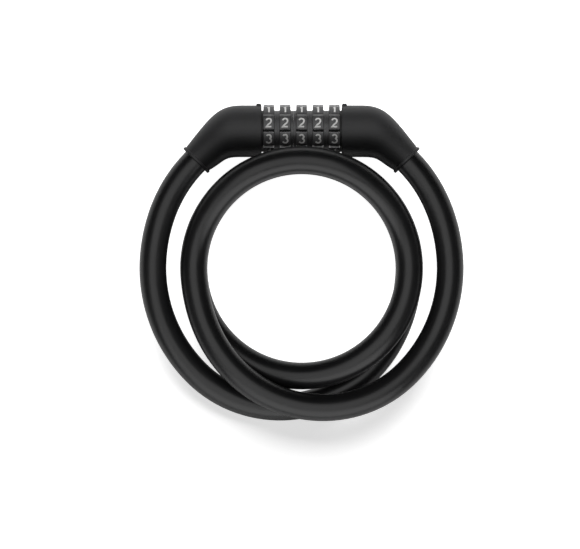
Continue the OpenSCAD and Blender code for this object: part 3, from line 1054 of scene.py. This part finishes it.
def stroke_outline(points, width):
    """Left and right edge points of a stroke, mitred at its bends."""
    left, right = [], []
    count = len(points)
    closed = (Vector(points[0]) - Vector(points[-1])).length < 1e-6
    for i, p in enumerate(points):
        here = Vector(p)
        before = Vector(points[i - 1]) if i > 0 else (Vector(points[-2]) if closed else here)
        after = Vector(points[i + 1]) if i < count - 1 else (Vector(points[1]) if closed else here)
        a = (here - before).normalized() if (here - before).length > 1e-9 else (after - here).normalized()
        b = (after - here).normalized() if (after - here).length > 1e-9 else a
        normal = Vector((-(a + b).y, (a + b).x)).normalized()
        mitre = 1.0 / max(0.45, normal.dot(Vector((-a.y, a.x))))
        left.append(here + normal * width / 2 * mitre)
        right.append(here - normal * width / 2 * mitre)
    return left, right


def numerals_piece(index, route):
    """The numbers round one dial, as thin print that follows its band."""
    s = sizes()
    sector = 2 * math.pi / s.notch_count
    r = s.dial_d / 2
    x = dial_x(index)
    half_w = (s.numeral_w - s.stroke_w) / 2
    half_h = (s.numeral_h - s.stroke_w) / 2
    bm = bmesh.new()
    for value in range(s.notch_count):
        middle = sector * (TOP_NUMBER - value)
        for points in numeral_strokes(value):
            scaled = finely([(px * half_w, py * half_h) for px, py in points], PRINT_STEP)
            left, right = stroke_outline(scaled, s.stroke_w)
            rings = []
            for a, b in zip(left, right):
                ring = []
                for p, radius in (
                    (a, r - PRINT_SINK),
                    (a, r + PRINT_RISE),
                    (b, r + PRINT_RISE),
                    (b, r - PRINT_SINK),
                ):
                    ring.append(dial_point(x + p.x, middle + p.y / r, radius, route))
                rings.append(ring)
            loft(bm, rings)
    return new_piece(f"dial_{index}_numbers", bm, finish_of("Number print"), shade_smooth=False)


class CABLELOCK_OT_numbers(bpy.types.Operator):
    """Print the numbers 0 to 9 round each dial"""

    bl_idname = "cable_lock.numbers"
    bl_label = "Numbers"

    def execute(self, context):
        route = Route()
        for index in range(1, sizes().dial_count + 1):
            piece = numerals_piece(index, route)
            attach(piece, f"dial_body_{index}")
        return {"FINISHED"}


# ------------------------------------------------------------------ pieces kept from the frame

STEEL_NODES = (
    "lock_core",
    "core_pin",
    "core_clip",
    "detent_spring",
    "left_ferrule",
    "left_cable_pin",
    "right_ferrule",
    "right_cable_pin",
    "locking_pin",
    "shaft_pin",
)
BRASS_NODES = ("core_washer",)


class CABLELOCK_OT_inner_parts(bpy.types.Operator):
    """Give the lock's inner parts their metal and acetal finishes"""

    bl_idname = "cable_lock.inner_parts"
    bl_label = "Inner parts"

    def execute(self, context):
        sleeves = [f"code_sleeve_{i}" for i in range(1, sizes().dial_count + 1)]
        for nodes, finish in (
            (STEEL_NODES, "Turned steel"),
            (BRASS_NODES, "Stamped brass"),
            (sleeves, "Sleeve acetal"),
        ):
            for node in nodes:
                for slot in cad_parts[node].material_slots:
                    slot.material = finish_of(finish)
        return {"FINISHED"}


# ------------------------------------------------------------------ stage

CAMERA_X = -5.13 * MM
CAMERA_Y = -2.78 * MM
CAMERA_HEIGHT = 3.0
CAMERA_LENS = 417.2
SENSOR_WIDTH = 36.0
FLOOR_HALF = 3.0
FLOOR_ALBEDO = 0.55
# Painted light on the floor: full glow around and inside the coil hides the object's shadow there, and a
# lower glow in a crescent below the coil lets the shadow show there only.
PAINTED_LIGHT_GLOW = 1.0
SHADOW_CRESCENT_GLOW = 0.69
GLOSSY_SHARE = 0.2
SHADOW_MIDDLE = (0.0, -0.12, 0.0)
SHADOW_SHAPE = (0.45, 1.0, 1.0)
SHADOW_HALF = 0.065
SHADOW_EDGE = 0.105
HORIZON = 1.0
HORIZON_TOP = 0.08
SKY = 0.2
SKY_FROM = 0.2
DIFFUSE_SKY = 0.05
CABLE_LAMPS = ("top box", "front fill")
LOCK_LAMPS = ("key box", "sheen box", "notch lamp")
MIDDLE = Vector((0.0, 0.0, 0.02))
LAMP_DISTANCE = 1.1


def floor_material():
    """White paper: a share that takes shadows, and a glow that seen rays get. The glow is painted light:
    full around and inside the coil, which hides the shadow there, and lower in a crescent below the coil,
    where the shadow shows.
    """
    material, tree, shader = new_material("Floor white", shade(colours().floor, FLOOR_ALBEDO))
    shader.inputs["Roughness"].default_value = 0.9
    shader.inputs["Specular IOR Level"].default_value = 0.0
    rays = tree.nodes.new("ShaderNodeLightPath")
    mirrored_rays = maths(tree, "MULTIPLY", rays.outputs["Is Glossy Ray"], GLOSSY_SHARE)
    seen = maths(tree, "MAXIMUM", rays.outputs["Is Camera Ray"], mirrored_rays)
    seen = maths(tree, "MAXIMUM", seen, rays.outputs["Is Transmission Ray"])
    place = tree.nodes.new("ShaderNodeTexCoord")
    squash = tree.nodes.new("ShaderNodeVectorMath")
    squash.operation = "MULTIPLY"
    squash.inputs[1].default_value = SHADOW_SHAPE
    tree.links.new(place.outputs["Object"], squash.inputs[0])
    apart = tree.nodes.new("ShaderNodeVectorMath")
    apart.operation = "DISTANCE"
    apart.inputs[1].default_value = SHADOW_MIDDLE
    tree.links.new(squash.outputs["Vector"], apart.inputs[0])
    # Painted light: the glow rises from the crescent below the coil to full glow everywhere else.
    painted_glow_fade = tree.nodes.new("ShaderNodeMapRange")
    painted_glow_fade.interpolation_type = "SMOOTHSTEP"
    painted_glow_fade.inputs["From Min"].default_value = SHADOW_HALF
    painted_glow_fade.inputs["From Max"].default_value = SHADOW_EDGE
    painted_glow_fade.inputs["To Min"].default_value = SHADOW_CRESCENT_GLOW
    painted_glow_fade.inputs["To Max"].default_value = PAINTED_LIGHT_GLOW
    tree.links.new(apart.outputs["Value"], painted_glow_fade.inputs["Value"])
    glow = add(tree, "ShaderNodeEmission", Color=(*colours().floor, 1.0))
    tree.links.new(maths(tree, "MULTIPLY", seen, painted_glow_fade.outputs["Result"]), glow.inputs["Strength"])
    both = tree.nodes.new("ShaderNodeAddShader")
    tree.links.new(shader.outputs["BSDF"], both.inputs[0])
    tree.links.new(glow.outputs["Emission"], both.inputs[1])
    tree.links.new(both.outputs["Shader"], tree.nodes["Material Output"].inputs["Surface"])
    return material


def studio_world():
    """White at the horizon and grey above it for seen rays, and dim for the rest."""
    world = bpy.data.worlds.new("studio")
    world.use_nodes = True
    tree = world.node_tree
    sky = tree.nodes["Background"]
    place = tree.nodes.new("ShaderNodeTexCoord")
    split = tree.nodes.new("ShaderNodeSeparateXYZ")
    tree.links.new(place.outputs["Generated"], split.inputs["Vector"])
    rise = tree.nodes.new("ShaderNodeMapRange")
    rise.interpolation_type = "SMOOTHSTEP"
    rise.inputs["From Min"].default_value = HORIZON_TOP
    rise.inputs["From Max"].default_value = SKY_FROM
    rise.inputs["To Min"].default_value = HORIZON
    rise.inputs["To Max"].default_value = SKY
    tree.links.new(split.outputs["Z"], rise.inputs["Value"])
    rays = tree.nodes.new("ShaderNodeLightPath")
    seen = maths(tree, "MAXIMUM", rays.outputs["Is Camera Ray"], rays.outputs["Is Glossy Ray"])
    seen = maths(tree, "MAXIMUM", seen, rays.outputs["Is Transmission Ray"])
    strength = maths(tree, "MAXIMUM", maths(tree, "MULTIPLY", seen, rise.outputs["Result"]), DIFFUSE_SKY)
    tree.links.new(strength, sky.inputs["Strength"])
    return world


def linked(lamp_name):
    """The collection that says what a lamp lights."""
    linking = bpy.data.objects[lamp_name].light_linking
    if not linking.receiver_collection:
        linking.receiver_collection = bpy.data.collections.new(f"{lamp_name} receivers")
    return linking.receiver_collection


def light_only(lamp_name, piece):
    """Add a piece to the few that a lamp lights."""
    linked(lamp_name).objects.link(piece)


def light_all_but(lamp_name, piece):
    """Keep a lamp's light off a piece."""
    group = linked(lamp_name)
    group.objects.link(piece)
    group.collection_objects[-1].light_linking.link_state = "EXCLUDE"


def area_light(name, place, width, height, radiance):
    """A soft box of a given radiance, aimed at the lock's middle."""
    data = bpy.data.lights.new(name, "AREA")
    data.shape = "RECTANGLE"
    data.size = width
    data.size_y = height
    data.energy = radiance * math.pi * width * height
    lamp = bpy.data.objects.new(name, data)
    bpy.context.scene.collection.objects.link(lamp)
    lamp.location = place
    lamp.rotation_euler = (MIDDLE - Vector(place)).to_track_quat("-Z", "Y").to_euler()
    lamp.visible_camera = False
    return lamp


def leaning(degrees, aside=0.0):
    """A lamp's place, leaning from straight up towards the back."""
    turn = math.radians(degrees)
    return MIDDLE + Vector((aside, LAMP_DISTANCE * math.sin(turn), LAMP_DISTANCE * math.cos(turn)))


class CABLELOCK_OT_stage(bpy.types.Operator):
    """Set the camera, the lamps and the white floor"""

    bl_idname = "cable_lock.stage"
    bl_label = "Stage"

    def execute(self, context):
        scene = context.scene
        scene.view_settings.view_transform = "Standard"
        data = bpy.data.cameras.new("camera")
        data.lens = CAMERA_LENS
        data.sensor_width = SENSOR_WIDTH
        data.clip_start = 0.01
        camera = bpy.data.objects.new("camera", data)
        scene.collection.objects.link(camera)
        camera.location = (CAMERA_X, CAMERA_Y, CAMERA_HEIGHT)
        scene.camera = camera

        bm = bmesh.new()
        bmesh.ops.create_grid(bm, x_segments=1, y_segments=1, size=FLOOR_HALF)
        floor = new_piece("floor", bm, floor_material())
        scene.world = studio_world()

        area_light("top box", (-0.12, -0.02, 1.0), width=1.0, height=1.05, radiance=1.35)
        area_light("front fill", (0.0, -0.42, 0.26), width=0.8, height=0.45, radiance=1.9)
        key = area_light("key box", leaning(60), width=1.8, height=0.5, radiance=5.2)
        key.visible_glossy = False
        sheen = area_light("sheen box", leaning(15), width=1.8, height=1.35, radiance=1.65)
        sheen.visible_diffuse = False
        notch = area_light("notch lamp", leaning(25), width=0.6, height=0.6, radiance=1.3)
        notch.visible_glossy = False
        area_light("floor lamp", leaning(46, aside=0.15), width=1.0, height=1.0, radiance=10.0)
        light_only("floor lamp", floor)
        for lamp in LOCK_LAMPS:
            light_all_but(lamp, floor)
        return {"FINISHED"}


# ------------------------------------------------------------------ panel and main

OPERATORS = (
    CABLELOCK_OT_stage,
    CABLELOCK_OT_cable,
    CABLELOCK_OT_elbows,
    CABLELOCK_OT_grommets,
    CABLELOCK_OT_dials,
    CABLELOCK_OT_numbers,
    CABLELOCK_OT_inner_parts,
)


class CABLELOCK_PT_panel(bpy.types.Panel):
    """Lists the steps that build the lock"""

    bl_idname = "CABLELOCK_PT_panel"
    bl_label = "Cable Lock"
    bl_space_type = "VIEW_3D"
    bl_region_type = "UI"
    bl_category = "Cable Lock"

    def draw(self, context):
        layout = self.layout
        for operator in OPERATORS:
            layout.operator(operator.bl_idname)
        box = layout.box()
        for group in (context.scene.cable_lock_sizes, context.scene.cable_lock_colours):
            for key in group.__annotations__:
                box.prop(group, key)


CLASSES = (CableLockSizes, CableLockColours, *OPERATORS, CABLELOCK_PT_panel)


def register():
    for cls in CLASSES:
        bpy.utils.register_class(cls)
    bpy.types.Scene.cable_lock_sizes = PointerProperty(type=CableLockSizes)
    bpy.types.Scene.cable_lock_colours = PointerProperty(type=CableLockColours)


def unregister():
    del bpy.types.Scene.cable_lock_colours
    del bpy.types.Scene.cable_lock_sizes
    for cls in reversed(CLASSES):
        bpy.utils.unregister_class(cls)


def main():
    register()
    for operator in OPERATORS:
        group, name = operator.bl_idname.split(".")
        getattr(getattr(bpy.ops, group), name)()


if __name__ == "__main__":
    main()
